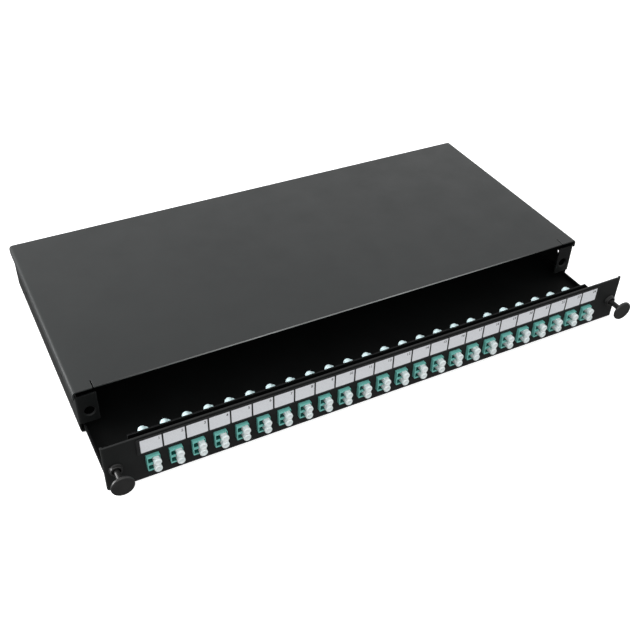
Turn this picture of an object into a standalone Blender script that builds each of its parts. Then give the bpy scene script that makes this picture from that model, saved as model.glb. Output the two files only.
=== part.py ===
"""Sliding-drawer fibre patch panel for a 19-inch rack, one rack unit high.

Metres, +Z up, +X right, the front faces -Y. The origin is the centre of the
housing's underside. The drawer is modelled pulled part of the way out, with
both latch plungers pulled out, because that is the rest pose.
"""
import math

import bmesh
import bpy
from mathutils import Matrix, Vector

MM = 0.001
GAP = 0.3 * MM                 # running and seating gap between neighbouring pieces

# ---- driving dimensions -----------------------------------------------------
WIDTH = 445 * MM               # housing over the cover's side lips
DEPTH = 200 * MM
HEIGHT = 40 * MM
SHEET = 1.2 * MM               # folded steel of housing, cover and tray
FOLD_RADIUS = 1.6 * MM         # outside radius of the folds
COVER_FOLD_RADIUS = 3 * MM     # the cover's folds are rounder

PORT_COUNT = 24
PORT_PITCH = 16.25 * MM
PORT_HEIGHT = 15 * MM          # centre of the adapters above the underside
FERRULE_SPACING = 6.25 * MM    # between the two ports of one duplex adapter

DRAWER_OUT = 57 * MM           # how far the drawer stands out at rest
DRAWER_EXTRA = 70 * MM         # how much further it can be pulled
SHUT_GAP = 0.5 * MM            # left between panel and housing with the drawer shut
PLUNGER_TRAVEL = 11.5 * MM

# ---- housing ----------------------------------------------------------------
HALF_WIDTH = WIDTH / 2
HOUSING_FRONT = -DEPTH / 2
HOUSING_REAR = DEPTH / 2
COVER_LIP = 7 * MM
BASE_HALF_WIDTH = HALF_WIDTH - SHEET - GAP
BASE_REAR = HOUSING_REAR - SHEET - GAP
BASE_TOP = HEIGHT - COVER_FOLD_RADIUS    # clear of the curve inside the cover's folds
FLANGE_INNER = 206 * MM        # the drawer opening reaches this far each side
FLANGE_LOW = 9 * MM            # the tray's side lips pass below the front flanges
FLANGE_HIGH = 34.5 * MM        # relief between the front flanges and the cover
SLIT_X = 207.3 * MM
SLIT_WIDTH = 0.9 * MM
SLIT_DEPTH = 8 * MM
EAR_HOLE_Y = (-85 * MM, -55 * MM, -16 * MM, 16 * MM, 55 * MM, 87 * MM)
EAR_HOLE_Z = 19 * MM
EAR_HOLE_RADIUS = 1.7 * MM
CABLE_X = 150 * MM             # cable entries in the rear wall
CABLE_Z = 17 * MM
CABLE_HOLE_RADIUS = 9.7 * MM

# ---- drawer -----------------------------------------------------------------
PANEL_SHEET = 1.5 * MM
PANEL_HALF_WIDTH = 220 * MM
PANEL_RETURN = 2.5 * MM        # depth of the folds at the panel's two ends
PANEL_LOW = 0.4 * MM
PANEL_HIGH = PANEL_LOW + HEIGHT
PANEL_FRONT = HOUSING_FRONT - SHUT_GAP - PANEL_RETURN - DRAWER_OUT
PANEL_BACK = PANEL_FRONT + PANEL_SHEET
WINDOW_WIDTH = 9.9 * MM
WINDOW_HEIGHT = 13.6 * MM

TRAY_HALF_WIDTH = PANEL_HALF_WIDTH - PANEL_SHEET - GAP   # between the panel's folds
TRAY_LOW = SHEET + GAP
TRAY_FLOOR = TRAY_LOW + SHEET
TRAY_LIP_TOP = 6.5 * MM
TRAY_FRONT = PANEL_BACK + GAP
TRAY_REAR = 34 * MM
WALL_FRONT = PANEL_FRONT + 6.6 * MM      # adapter wall, folded up behind the panel
WALL_LEFT = -200 * MM
WALL_RIGHT = 194 * MM
WALL_TOP = 38.4 * MM
WALL_CORNER = 6 * MM           # cut off the wall's top right corner
STOP_TAB_LENGTH = 8 * MM
STOP_TAB_TOP = 12 * MM
STOP_TAB_ROOT = 3.5 * MM
STOP_TAB_INSET = 0.1 * MM

LABEL_HALF_WIDTH = 197 * MM
LABEL_LOW = 24.9 * MM
LABEL_HIGH = 38.9 * MM
LABEL_THICK = 0.8 * MM
LABEL_RECESS = 0.35 * MM
LABEL_CELL_WIDTH = 15.25 * MM
LABEL_CELL_LOW = 25.9 * MM
LABEL_CELL_HIGH = 37.7 * MM

# ---- duplex adapter, measured from the panel's front plane, +Y inwards --------
ADAPTER_WIDTH = 9.3 * MM
ADAPTER_HEIGHT = 13 * MM
NOSE_FRONT = -2.5 * MM
WING_FRONT = 8.1 * MM
WING_BACK = 9.8 * MM
WING_WIDTH = 11.6 * MM
WING_HEIGHT = 15.4 * MM
BODY_BACK = 22.5 * MM
PORT_OFFSET = 1.65 * MM        # the ports sit to the right, the latch slots to the left
PORT_WIDTH = 5.0 * MM
PORT_TALL = 5.2 * MM
PORT_DEPTH = 4 * MM
LATCH_WIDTH = 3.1 * MM
LATCH_TALL = 3.8 * MM
CAP_RADIUS = 2.85 * MM
CAP_LENGTH = 3.9 * MM
CAP_NECK_RADIUS = 2.0 * MM
CAP_NECK = 1.2 * MM
CAP_WEB = 2.2 * MM             # width of the web between a duplex cap's two ends
CAP_WEB_INSET = 1.1 * MM
CAP_PLUG = 4.4 * MM
REAR_CAP_RADIUS = 3.05 * MM
REAR_CAP_LENGTH = 7 * MM

# ---- latch plunger, measured from the panel's front plane, positive outwards --
PLUNGER_X = 212.5 * MM
PLUNGER_Z = 19 * MM
FLANGE_HOLE_RADIUS = 3.75 * MM
COLLAR_HOLE_RADIUS = 3.45 * MM
COLLAR_FOOT_RADIUS = 4.9 * MM
COLLAR_RADIUS = 4.3 * MM
COLLAR_FOOT = 1.1 * MM
COLLAR_FRONT = 3.0 * MM
COLLAR_CHAMFER = 0.6 * MM
LEG_CHAMFER = 0.3 * MM
COLLAR_SEAT = 0.9 * MM         # bottom of the counterbore that takes the plunger's neck
COLLAR_LEG_RADIUS = 3.1 * MM
COLLAR_LEG_END = -8.0 * MM
COUNTERBORE_RADIUS = 2.95 * MM
COLLAR_BORE_RADIUS = 2.45 * MM
HEAD_RADIUS = 8.2 * MM
HEAD_BACK = COLLAR_FRONT + PLUNGER_TRAVEL + 0.8 * MM
HEAD_CHAMFER = 0.4 * MM
HEAD_FRONT = HEAD_BACK + 2.0 * MM
HEAD_RIM = 1.1 * MM
NECK_RADIUS = 2.65 * MM
NECK_FLARE = 0.7 * MM
NECK_END = COLLAR_SEAT + PLUNGER_TRAVEL + 0.6 * MM
PIN_RADIUS = 2.1 * MM
PIN_END = -4.0 * MM
PIN_CHAMFER = 0.7 * MM

# ---- splice cassette on the tray floor ----------------------------------------
CASSETTE_HALF_WIDTH = 75 * MM
CASSETTE_FRONT = -47 * MM
CASSETTE_REAR = 31 * MM
CASSETTE_TOP = 13.5 * MM
CASSETTE_CORNER = 9 * MM
CASSETTE_LID_INSET = 3 * MM
CASSETTE_LID_TOP = 15 * MM

# ---- fittings in the rear wall --------------------------------------------------
GLAND_FLATS = 22 * MM
GLAND_HEX_LENGTH = 6 * MM
GLAND_DOME_LENGTH = 12 * MM
GLAND_DOME_RADIUS = 10 * MM
GLAND_MOUTH_RADIUS = 7.5 * MM
GLAND_BORE_RADIUS = 5 * MM
GLAND_THREAD_RADIUS = 9.3 * MM
LOCKNUT_THICK = 4 * MM
PLUG_HEAD_RADIUS = 12 * MM
PLUG_HEAD_THICK = 3 * MM
PLUG_BARREL_LENGTH = 6 * MM

CUT_OVER = 1 * MM              # how far a cutter reaches past the wall it cuts
JOIN_OVER = 0.5 * MM           # how deep joined shapes sit in each other
FOLD_SEGMENTS = 2
HOLE_SIDES = 16
SMALL_HOLE_SIDES = 8
TURN_STEPS = 16
CAP_STEPS = 8

parts = None
cutters = None


# ---- scene ----------------------------------------------------------------------
def clear_scene():
    for obj in list(bpy.data.objects):
        bpy.data.objects.remove(obj, do_unlink=True)


def new_collection(name):
    collection = bpy.data.collections.new(name)
    bpy.context.scene.collection.children.link(collection)
    return collection


def make_material(name, colour, roughness, metallic=0.0):
    material = bpy.data.materials.new(name)
    material.use_nodes = True
    shader = material.node_tree.nodes["Principled BSDF"]
    shader.inputs["Base Color"].default_value = (*colour, 1.0)
    shader.inputs["Roughness"].default_value = roughness
    shader.inputs["Metallic"].default_value = metallic
    return material


def add_object(name, mesh, collection, material=None):
    obj = bpy.data.objects.new(name, mesh)
    collection.objects.link(obj)
    if material is not None:
        mesh.materials.clear()
        mesh.materials.append(material)
    return obj


def add_cutter(name, mesh):
    obj = add_object(name, mesh, cutters)
    obj.hide_render = True
    obj.display_type = "WIRE"
    return obj


# ---- shapes ---------------------------------------------------------------------
def add_box_to(bm, low, high):
    """Add one box to bm and return its faces."""
    low = Vector(low)
    high = Vector(high)
    size = high - low
    place = Matrix.Translation((low + high) / 2) @ Matrix.Diagonal((*size, 1.0))
    made = bmesh.ops.create_cube(bm, size=1.0, matrix=place)
    return {face for vert in made["verts"] for face in vert.link_faces}


def mesh_from(bm, name):
    mesh = bpy.data.meshes.new(name)
    bm.to_mesh(mesh)
    bm.free()
    return mesh


def boxes_mesh(name, boxes):
    bm = bmesh.new()
    for low, high in boxes:
        add_box_to(bm, low, high)
    return mesh_from(bm, name)


def rounded_box_mesh(name, low, high, radius, axis, segments=3):
    """A box whose four edges along one axis are rounded."""
    bm = bmesh.new()
    add_box_to(bm, low, high)
    along = [edge for edge in bm.edges
             if abs((edge.verts[0].co - edge.verts[1].co).normalized()[axis]) > 0.9]
    bmesh.ops.bevel(bm, geom=along, offset=radius, segments=segments, affect="EDGES", profile=0.5)
    return mesh_from(bm, name)


def cut_corner_plate_mesh(name, low, high, corner):
    """An upright plate across X whose top corner at the high X end is cut off."""
    bm = bmesh.new()
    add_box_to(bm, low, high)
    top_right = max(bm.edges, key=lambda edge: sum(vert.co.x + vert.co.z for vert in edge.verts))
    bmesh.ops.bevel(bm, geom=[top_right], offset=corner, segments=1, affect="EDGES")
    return mesh_from(bm, name)


def open_box_mesh(name, low, high, open_sides):
    """The surface of a box without the faces whose outward directions are listed."""
    bm = bmesh.new()
    faces = add_box_to(bm, low, high)
    bm.normal_update()
    missing = [face for face in faces
               if any(face.normal.dot(Vector(side)) > 0.9 for side in open_sides)]
    bmesh.ops.delete(bm, geom=missing, context="FACES")
    return mesh_from(bm, name)


def cylinders_mesh(name, rods, sides):
    """Round rods, each given as (centre, axis index, radius, length)."""
    turns = (Matrix.Rotation(math.pi / 2, 4, "Y"), Matrix.Rotation(math.pi / 2, 4, "X"), Matrix.Identity(4))
    bm = bmesh.new()
    for centre, axis, radius, length in rods:
        bmesh.ops.create_cone(bm, cap_ends=True, segments=sides, radius1=radius, radius2=radius,
                              depth=length, matrix=Matrix.Translation(centre) @ turns[axis])
    return mesh_from(bm, name)


def folded_sheet(name, low, high, open_sides, thickness, radius, material):
    """Sheet metal folded up from a flat blank, with rounded folds."""
    obj = add_object(name, open_box_mesh(name, low, high, open_sides), parts, material)
    fold = obj.modifiers.new("folds", "BEVEL")
    fold.width = radius
    fold.segments = FOLD_SEGMENTS
    fold.limit_method = "ANGLE"
    skin = obj.modifiers.new("sheet", "SOLIDIFY")
    skin.thickness = thickness
    skin.offset = -1.0
    skin.use_even_offset = True
    return obj


def boolean(obj, other, operation):
    step = obj.modifiers.new(other.name, "BOOLEAN")
    step.operation = operation
    step.solver = "EXACT"
    step.object = other


def cut(obj, name, mesh):
    boolean(obj, add_cutter(name, mesh), "DIFFERENCE")


def join(obj, name, mesh):
    boolean(obj, add_cutter(name, mesh), "UNION")


def turned_object(name, profile, collection, closed=False, steps=TURN_STEPS):
    """Turn a profile of (radius, height) points round local Z with a Screw modifier."""
    bm = bmesh.new()
    verts = [bm.verts.new((radius, 0.0, height)) for radius, height in profile]
    ends = verts[1:] + verts[:1] if closed else verts[1:]
    for first, second in zip(verts, ends):
        bm.edges.new((first, second))
    obj = add_object(name, mesh_from(bm, name), collection)
    screw = obj.modifiers.new("turn", "SCREW")
    screw.axis = "Z"
    screw.steps = steps
    screw.render_steps = steps
    screw.use_merge_vertices = True
    screw.merge_threshold = 0.00001
    screw.use_smooth_shade = True
    return obj


def frozen_mesh(obj, name):
    """The object's shape with its modifiers applied, as a mesh of its own."""
    bpy.context.view_layer.update()
    evaluated = obj.evaluated_get(bpy.context.evaluated_depsgraph_get())
    mesh = bpy.data.meshes.new_from_object(evaluated)
    mesh.name = name
    mesh.transform(obj.matrix_world)
    bpy.data.objects.remove(obj, do_unlink=True)
    return mesh


def shade_round(mesh):
    mesh.shade_smooth()
    mesh.set_sharp_from_angle(angle=math.radians(35))


def dome_points(radius, rim, front, points):
    """A shallow rounded front: from the axis at front out to the rim."""
    return [(radius * math.sin(turn), front - rim * (1 - math.cos(turn)))
            for turn in (math.pi / 2 * step / points for step in range(points + 1))]


def port_centres():
    first = -(PORT_COUNT - 1) / 2 * PORT_PITCH
    return [first + index * PORT_PITCH for index in range(PORT_COUNT)]


def window_boxes(front, back):
    half_width = WINDOW_WIDTH / 2
    half_height = WINDOW_HEIGHT / 2
    return [((x - half_width, front - CUT_OVER, PORT_HEIGHT - half_height),
             (x + half_width, back + CUT_OVER, PORT_HEIGHT + half_height))
            for x in port_centres()]


# ---- housing --------------------------------------------------------------------
def make_chassis_base(material):
    base = folded_sheet("chassis_base", (-BASE_HALF_WIDTH, HOUSING_FRONT, 0.0),
                        (BASE_HALF_WIDTH, BASE_REAR, BASE_TOP), [(0, 0, 1)],
                        SHEET, FOLD_RADIUS, material)
    front = HOUSING_FRONT - CUT_OVER
    inside = HOUSING_FRONT + SHEET + CUT_OVER
    cut(base, "drawer_opening_cutter", boxes_mesh("drawer_opening_cutter", [
        ((-FLANGE_INNER, front, FLANGE_LOW - CUT_OVER), (FLANGE_INNER, inside, BASE_TOP + CUT_OVER))]))
    inner_wall = BASE_HALF_WIDTH - SHEET
    cut(base, "flange_relief_cutter", boxes_mesh("flange_relief_cutter", [
        ((-inner_wall, front, FLANGE_HIGH), (inner_wall, inside, BASE_TOP + CUT_OVER))]))
    cut(base, "tray_slot_cutter", boxes_mesh("tray_slot_cutter", [
        ((-HALF_WIDTH, front, SHEET), (HALF_WIDTH, inside, FLANGE_LOW))]))
    rods = []
    for side in (-1, 1):
        rods.append(((side * PLUNGER_X, HOUSING_FRONT, PLUNGER_Z), 1, FLANGE_HOLE_RADIUS, 4 * CUT_OVER))
        rods.append(((side * CABLE_X, BASE_REAR, CABLE_Z), 1, CABLE_HOLE_RADIUS, 6 * CUT_OVER))
    cut(base, "round_hole_cutter", cylinders_mesh("round_hole_cutter", rods, HOLE_SIDES))
    ears = [((side * BASE_HALF_WIDTH, y, EAR_HOLE_Z), 0, EAR_HOLE_RADIUS, 6 * CUT_OVER)
            for side in (-1, 1) for y in EAR_HOLE_Y]
    cut(base, "ear_hole_cutter", cylinders_mesh("ear_hole_cutter", ears, SMALL_HOLE_SIDES))


def make_top_cover(material):
    cover = folded_sheet("top_cover", (-HALF_WIDTH, HOUSING_FRONT, HEIGHT - COVER_LIP),
                         (HALF_WIDTH, HOUSING_REAR, HEIGHT), [(0, 0, -1), (0, -1, 0)],
                         SHEET, COVER_FOLD_RADIUS, material)
    slits = [((side * SLIT_X - SLIT_WIDTH / 2, HOUSING_FRONT - CUT_OVER, HEIGHT - SHEET - CUT_OVER),
              (side * SLIT_X + SLIT_WIDTH / 2, HOUSING_FRONT + SLIT_DEPTH, HEIGHT + CUT_OVER))
             for side in (-1, 1)]
    cut(cover, "slit_cutter", boxes_mesh("slit_cutter", slits))


def make_cable_gland(material):
    """Hexagon outside the wall, locknut inside it, dome nut behind, open bore."""
    outside = BASE_REAR + GAP
    inside = BASE_REAR - SHEET - GAP
    hex_radius = GLAND_FLATS / 2 / math.cos(math.pi / 6)
    centre = Vector((-CABLE_X, 0.0, CABLE_Z))
    hexagon = cylinders_mesh("cable_gland", [
        (centre + Vector((0, outside + GLAND_HEX_LENGTH / 2, 0)), 1, hex_radius, GLAND_HEX_LENGTH)], 6)
    gland = add_object("cable_gland", hexagon, parts, material)
    nut = cylinders_mesh("locknut", [
        (centre + Vector((0, inside - LOCKNUT_THICK / 2, 0)), 1, hex_radius, LOCKNUT_THICK)], 6)
    join(gland, "locknut", nut)
    thread_back = inside - LOCKNUT_THICK - 2 * MM
    thread_length = outside + JOIN_OVER - thread_back
    thread_middle = centre + Vector((0, thread_back + thread_length / 2, 0))
    thread = cylinders_mesh("gland_thread", [
        (thread_middle, 1, GLAND_THREAD_RADIUS, thread_length)], HOLE_SIDES)
    join(gland, "gland_thread", thread)
    dome = turned_object("gland_dome", dome_nut_profile(), cutters)
    dome.rotation_euler = (-math.pi / 2, 0, 0)
    dome.location = centre + Vector((0, outside + GLAND_HEX_LENGTH - JOIN_OVER, 0))
    join(gland, "gland_dome", frozen_mesh(dome, "gland_dome"))
    bore_length = thread_length + GLAND_HEX_LENGTH + GLAND_DOME_LENGTH + 4 * CUT_OVER
    bore = cylinders_mesh("gland_bore", [
        (centre + Vector((0, outside, 0)), 1, GLAND_BORE_RADIUS, 2 * bore_length)], HOLE_SIDES)
    cut(gland, "gland_bore", bore)


def dome_nut_profile():
    """Dome nut along local Z: mouth at the top, wide foot at the bottom."""
    shoulder = GLAND_DOME_LENGTH * 0.45
    rise = GLAND_DOME_LENGTH - shoulder
    curve = []
    for step in range(5):
        turn = math.pi / 2 * step / 4
        radius = GLAND_MOUTH_RADIUS + (GLAND_DOME_RADIUS - GLAND_MOUTH_RADIUS) * math.sin(turn)
        curve.append((radius, shoulder + rise * math.cos(turn)))
    return [(0.0, GLAND_DOME_LENGTH), *curve, (GLAND_DOME_RADIUS, 0.0), (0.0, 0.0)]


def make_blanking_plug(material):
    """Snap-in plug that closes the second cable entry."""
    barrel = GLAND_THREAD_RADIUS
    profile = [*dome_points(PLUG_HEAD_RADIUS, PLUG_HEAD_THICK * 0.8, PLUG_HEAD_THICK, 4),
               (PLUG_HEAD_RADIUS, 0.0), (barrel, 0.0), (barrel, -PLUG_BARREL_LENGTH),
               (0.0, -PLUG_BARREL_LENGTH)]
    plug = turned_object("blanking_plug", profile, parts)
    plug.data.materials.append(material)
    plug.rotation_euler = (-math.pi / 2, 0, 0)
    plug.location = (CABLE_X, BASE_REAR + GAP, CABLE_Z)


# ---- drawer -----------------------------------------------------------------------
def make_tray(material):
    tray = folded_sheet("tray", (-TRAY_HALF_WIDTH, TRAY_FRONT, TRAY_LOW),
                        (TRAY_HALF_WIDTH, TRAY_REAR, TRAY_LIP_TOP), [(0, 0, 1), (0, -1, 0)],
                        SHEET, FOLD_RADIUS, material)
    wall_back = WALL_FRONT + SHEET
    join(tray, "adapter_wall", cut_corner_plate_mesh(
        "adapter_wall", (WALL_LEFT, WALL_FRONT, TRAY_FLOOR - JOIN_OVER),
        (WALL_RIGHT, wall_back, WALL_TOP), WALL_CORNER))
    tab_front = HOUSING_FRONT + SHEET + GAP + DRAWER_EXTRA
    tab_thick = SHEET - 2 * STOP_TAB_INSET
    tabs = []
    for side in (-1, 1):
        middle = side * (TRAY_HALF_WIDTH - SHEET / 2)
        tabs.append(((middle - tab_thick / 2, tab_front, STOP_TAB_ROOT),
                     (middle + tab_thick / 2, tab_front + STOP_TAB_LENGTH, STOP_TAB_TOP)))
    join(tray, "stop_tabs", boxes_mesh("stop_tabs", tabs))
    cut(tray, "wall_window_cutter", boxes_mesh("wall_window_cutter", window_boxes(WALL_FRONT, wall_back)))


def make_front_panel(material):
    panel = folded_sheet("front_panel", (-PANEL_HALF_WIDTH, PANEL_FRONT, PANEL_LOW),
                         (PANEL_HALF_WIDTH, PANEL_FRONT + PANEL_RETURN, PANEL_HIGH),
                         [(0, 1, 0), (0, 0, 1), (0, 0, -1)], PANEL_SHEET, FOLD_RADIUS, material)
    cut(panel, "panel_window_cutter", boxes_mesh("panel_window_cutter",
                                                 window_boxes(PANEL_FRONT, PANEL_BACK)))
    holes = [((side * PLUNGER_X, PANEL_FRONT, PLUNGER_Z), 1, COLLAR_HOLE_RADIUS, 6 * CUT_OVER)
             for side in (-1, 1)]
    cut(panel, "collar_hole_cutter", cylinders_mesh("collar_hole_cutter", holes, HOLE_SIDES))


def make_label_strip(material):
    back = PANEL_FRONT - GAP
    front = back - LABEL_THICK
    mesh = rounded_box_mesh("label_strip", (-LABEL_HALF_WIDTH, front, LABEL_LOW),
                            (LABEL_HALF_WIDTH, back, LABEL_HIGH), 1.0 * MM, 1)
    strip = add_object("label_strip", mesh, parts, material)
    half = LABEL_CELL_WIDTH / 2
    cells = [((x - half, front - CUT_OVER, LABEL_CELL_LOW), (x + half, front + LABEL_RECESS, LABEL_CELL_HIGH))
             for x in port_centres()]
    cut(strip, "label_cell_cutter", boxes_mesh("label_cell_cutter", cells))


def make_splice_cassette(material):
    low = TRAY_FLOOR + GAP
    mesh = rounded_box_mesh("splice_cassette", (-CASSETTE_HALF_WIDTH, CASSETTE_FRONT, low),
                            (CASSETTE_HALF_WIDTH, CASSETTE_REAR, CASSETTE_TOP), CASSETTE_CORNER, 2, 5)
    cassette = add_object("splice_cassette", mesh, parts, material)
    inset = CASSETTE_LID_INSET
    lid = rounded_box_mesh("cassette_lid",
                           (-CASSETTE_HALF_WIDTH + inset, CASSETTE_FRONT + inset, low + JOIN_OVER),
                           (CASSETTE_HALF_WIDTH - inset, CASSETTE_REAR - inset, CASSETTE_LID_TOP),
                           CASSETTE_CORNER - inset, 2, 5)
    join(cassette, "cassette_lid", lid)


# ---- adapters and caps --------------------------------------------------------------
def port_levels():
    return (-FERRULE_SPACING / 2, FERRULE_SPACING / 2)


def adapter_template():
    """Duplex adapter round the origin, with its rear dust caps joined on."""
    half_width = ADAPTER_WIDTH / 2
    half_height = ADAPTER_HEIGHT / 2
    body = rounded_box_mesh("adapter", (-half_width, NOSE_FRONT, -half_height),
                            (half_width, BODY_BACK, half_height), 0.5 * MM, 1, 1)
    adapter = add_object("adapter_template", body, cutters)
    join(adapter, "adapter_wings", boxes_mesh("adapter_wings", [
        ((-WING_WIDTH / 2, WING_FRONT, -WING_HEIGHT / 2),
         (WING_WIDTH / 2, WING_BACK, WING_HEIGHT / 2))]))
    for index, level in enumerate(port_levels()):
        profile = rear_cap_profile()
        cap = turned_object("rear_cap", profile, cutters, steps=CAP_STEPS)
        cap.rotation_euler = (-math.pi / 2, 0, 0)
        cap.location = (PORT_OFFSET, BODY_BACK - JOIN_OVER, level)
        join(adapter, f"rear_cap_{index}", frozen_mesh(cap, "rear_cap"))
    port_left = PORT_OFFSET - PORT_WIDTH / 2
    ports = []
    for level in port_levels():
        ports.append(((port_left, NOSE_FRONT - CUT_OVER, level - PORT_TALL / 2),
                      (port_left + PORT_WIDTH, NOSE_FRONT + PORT_DEPTH, level + PORT_TALL / 2)))
    cut(adapter, "port_cutter", boxes_mesh("port_cutter", ports))
    slots = [((port_left - LATCH_WIDTH, NOSE_FRONT - CUT_OVER, level - LATCH_TALL / 2),
              (port_left + JOIN_OVER, NOSE_FRONT + PORT_DEPTH - JOIN_OVER, level + LATCH_TALL / 2))
             for level in port_levels()]
    cut(adapter, "latch_slot_cutter", boxes_mesh("latch_slot_cutter", slots))
    return adapter


def rear_cap_profile():
    """A rear cap along local Z: a short rod with a rounded end."""
    return [*dome_points(REAR_CAP_RADIUS, REAR_CAP_RADIUS * 0.6, REAR_CAP_LENGTH + JOIN_OVER, 2),
            (REAR_CAP_RADIUS, 0.0), (0.0, 0.0)]


def front_cap_profile():
    """One end of a front cap along local Z: a rounded head on a short narrow neck."""
    return [*dome_points(CAP_RADIUS, CAP_RADIUS * 0.5, CAP_LENGTH, 2), (CAP_RADIUS, CAP_NECK),
            (CAP_NECK_RADIUS, CAP_NECK), (CAP_NECK_RADIUS, 0.0), (0.0, 0.0)]


def dust_cap_template():
    """Front duplex cap: two rounded ends, a web between them and two square plugs."""
    back = NOSE_FRONT - GAP
    front = back - CAP_LENGTH
    web = boxes_mesh("dust_cap", [
        ((PORT_OFFSET - CAP_WEB / 2, front + CAP_WEB_INSET, -FERRULE_SPACING / 2),
         (PORT_OFFSET + CAP_WEB / 2, back - CAP_NECK, FERRULE_SPACING / 2))])
    cap = add_object("dust_cap_template", web, cutters)
    for index, level in enumerate(port_levels()):
        knob = turned_object("cap_end", front_cap_profile(), cutters, steps=CAP_STEPS)
        knob.rotation_euler = (math.pi / 2, 0, 0)
        knob.location = (PORT_OFFSET, back, level)
        join(cap, f"cap_end_{index}", frozen_mesh(knob, "cap_end"))
    half = CAP_PLUG / 2
    plugs = [((PORT_OFFSET - half, back - JOIN_OVER, level - half),
              (PORT_OFFSET + half, NOSE_FRONT + PORT_DEPTH - GAP - JOIN_OVER, level + half))
             for level in port_levels()]
    join(cap, "cap_plugs", boxes_mesh("cap_plugs", plugs))
    return cap


def make_ports(adapter_material, cap_material):
    adapter = frozen_mesh(adapter_template(), "duplex_adapter")
    cap = frozen_mesh(dust_cap_template(), "duplex_dust_cap")
    for mesh, material in ((adapter, adapter_material), (cap, cap_material)):
        mesh.materials.clear()
        mesh.materials.append(material)
        shade_round(mesh)
    for number, x in enumerate(port_centres(), start=1):
        for name, mesh in (("adapter", adapter), ("dust_cap", cap)):
            obj = add_object(f"{name}_{number:02d}", mesh, parts)
            obj.location = (x, PANEL_FRONT, PORT_HEIGHT)


# ---- latches ------------------------------------------------------------------------
def collar_profile():
    """Closed outline: down the outside from the front, back up the bore."""
    return [(COUNTERBORE_RADIUS, COLLAR_FRONT), (COLLAR_RADIUS - COLLAR_CHAMFER, COLLAR_FRONT),
            (COLLAR_RADIUS, COLLAR_FRONT - COLLAR_CHAMFER), (COLLAR_RADIUS, COLLAR_FOOT),
            (COLLAR_FOOT_RADIUS, COLLAR_FOOT - LEG_CHAMFER), (COLLAR_FOOT_RADIUS, GAP),
            (COLLAR_LEG_RADIUS, GAP), (COLLAR_LEG_RADIUS, COLLAR_LEG_END + LEG_CHAMFER),
            (COLLAR_LEG_RADIUS - LEG_CHAMFER, COLLAR_LEG_END), (COLLAR_BORE_RADIUS, COLLAR_LEG_END),
            (COLLAR_BORE_RADIUS, COLLAR_SEAT), (COUNTERBORE_RADIUS, COLLAR_SEAT)]


def plunger_profile():
    """From the head's domed front to the pin's tip."""
    return [*dome_points(HEAD_RADIUS, HEAD_FRONT - HEAD_BACK - HEAD_RIM, HEAD_FRONT, 4),
            (HEAD_RADIUS, HEAD_BACK + HEAD_CHAMFER), (HEAD_RADIUS - HEAD_CHAMFER, HEAD_BACK),
            (NECK_RADIUS + NECK_FLARE, HEAD_BACK), (NECK_RADIUS, HEAD_BACK - NECK_FLARE),
            (NECK_RADIUS, NECK_END), (PIN_RADIUS, NECK_END), (PIN_RADIUS, PIN_END + PIN_CHAMFER),
            (PIN_RADIUS - PIN_CHAMFER, PIN_END), (0.0, PIN_END)]


def make_latch(side_name, side, material):
    """Collar and plunger of one end; both have their origin on the plunger's axis."""
    collar = turned_object(f"plunger_collar_{side_name}", collar_profile(), parts, closed=True)
    plunger = turned_object(f"plunger_{side_name}", plunger_profile(), parts)
    for obj in (collar, plunger):
        obj.data.materials.append(material)
        obj.rotation_euler = (math.pi / 2, 0, 0)
        obj.location = (side * PLUNGER_X, PANEL_FRONT, PLUNGER_Z)


# ---- assembly -------------------------------------------------------------------------
def main():
    global parts, cutters
    clear_scene()
    parts = new_collection("patch_panel")
    cutters = new_collection("cutters")

    powder_coat = make_material("powder_coat", (0.055, 0.057, 0.058), 0.45)
    panel_coat = make_material("panel_coat", (0.018, 0.019, 0.019), 0.5)
    strip_plastic = make_material("strip_plastic", (0.03, 0.03, 0.032), 0.45)
    aqua_plastic = make_material("aqua_plastic", (0.13, 0.42, 0.36), 0.4)
    cap_plastic = make_material("cap_plastic", (0.78, 0.82, 0.82), 0.35)
    nylon = make_material("nylon", (0.02, 0.02, 0.02), 0.4)
    gland_plastic = make_material("gland_plastic", (0.03, 0.03, 0.03), 0.5)

    make_chassis_base(powder_coat)
    make_top_cover(powder_coat)
    make_cable_gland(gland_plastic)
    make_blanking_plug(gland_plastic)
    make_tray(panel_coat)
    make_front_panel(panel_coat)
    make_label_strip(strip_plastic)
    make_splice_cassette(strip_plastic)
    make_ports(aqua_plastic, cap_plastic)
    make_latch("left", -1, nylon)
    make_latch("right", 1, nylon)


main()
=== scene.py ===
"""The looks of the sliding-drawer patch panel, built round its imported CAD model.

Metres, +Z up, +X right, the front faces -Y, as in the frame. The CAD nodes give
the places and the outer sizes; every piece here stands for one of them or is a
small part that the CAD leaves out.
"""

import math

import bmesh
import bpy
from mathutils import Matrix, Quaternion, Vector


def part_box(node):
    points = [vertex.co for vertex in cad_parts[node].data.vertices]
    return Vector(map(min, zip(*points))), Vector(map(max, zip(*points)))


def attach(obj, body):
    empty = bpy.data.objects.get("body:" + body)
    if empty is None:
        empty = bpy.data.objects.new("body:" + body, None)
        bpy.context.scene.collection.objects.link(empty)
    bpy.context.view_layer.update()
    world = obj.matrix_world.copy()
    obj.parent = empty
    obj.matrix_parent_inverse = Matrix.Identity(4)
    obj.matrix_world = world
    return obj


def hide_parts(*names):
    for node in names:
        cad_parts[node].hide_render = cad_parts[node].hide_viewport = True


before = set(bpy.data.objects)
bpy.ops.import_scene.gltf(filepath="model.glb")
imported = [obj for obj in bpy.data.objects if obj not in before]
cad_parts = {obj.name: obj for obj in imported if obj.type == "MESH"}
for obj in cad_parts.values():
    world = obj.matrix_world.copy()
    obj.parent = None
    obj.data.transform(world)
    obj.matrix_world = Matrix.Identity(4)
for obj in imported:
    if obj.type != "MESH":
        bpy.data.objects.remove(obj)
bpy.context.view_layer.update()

MM = 0.001

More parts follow.
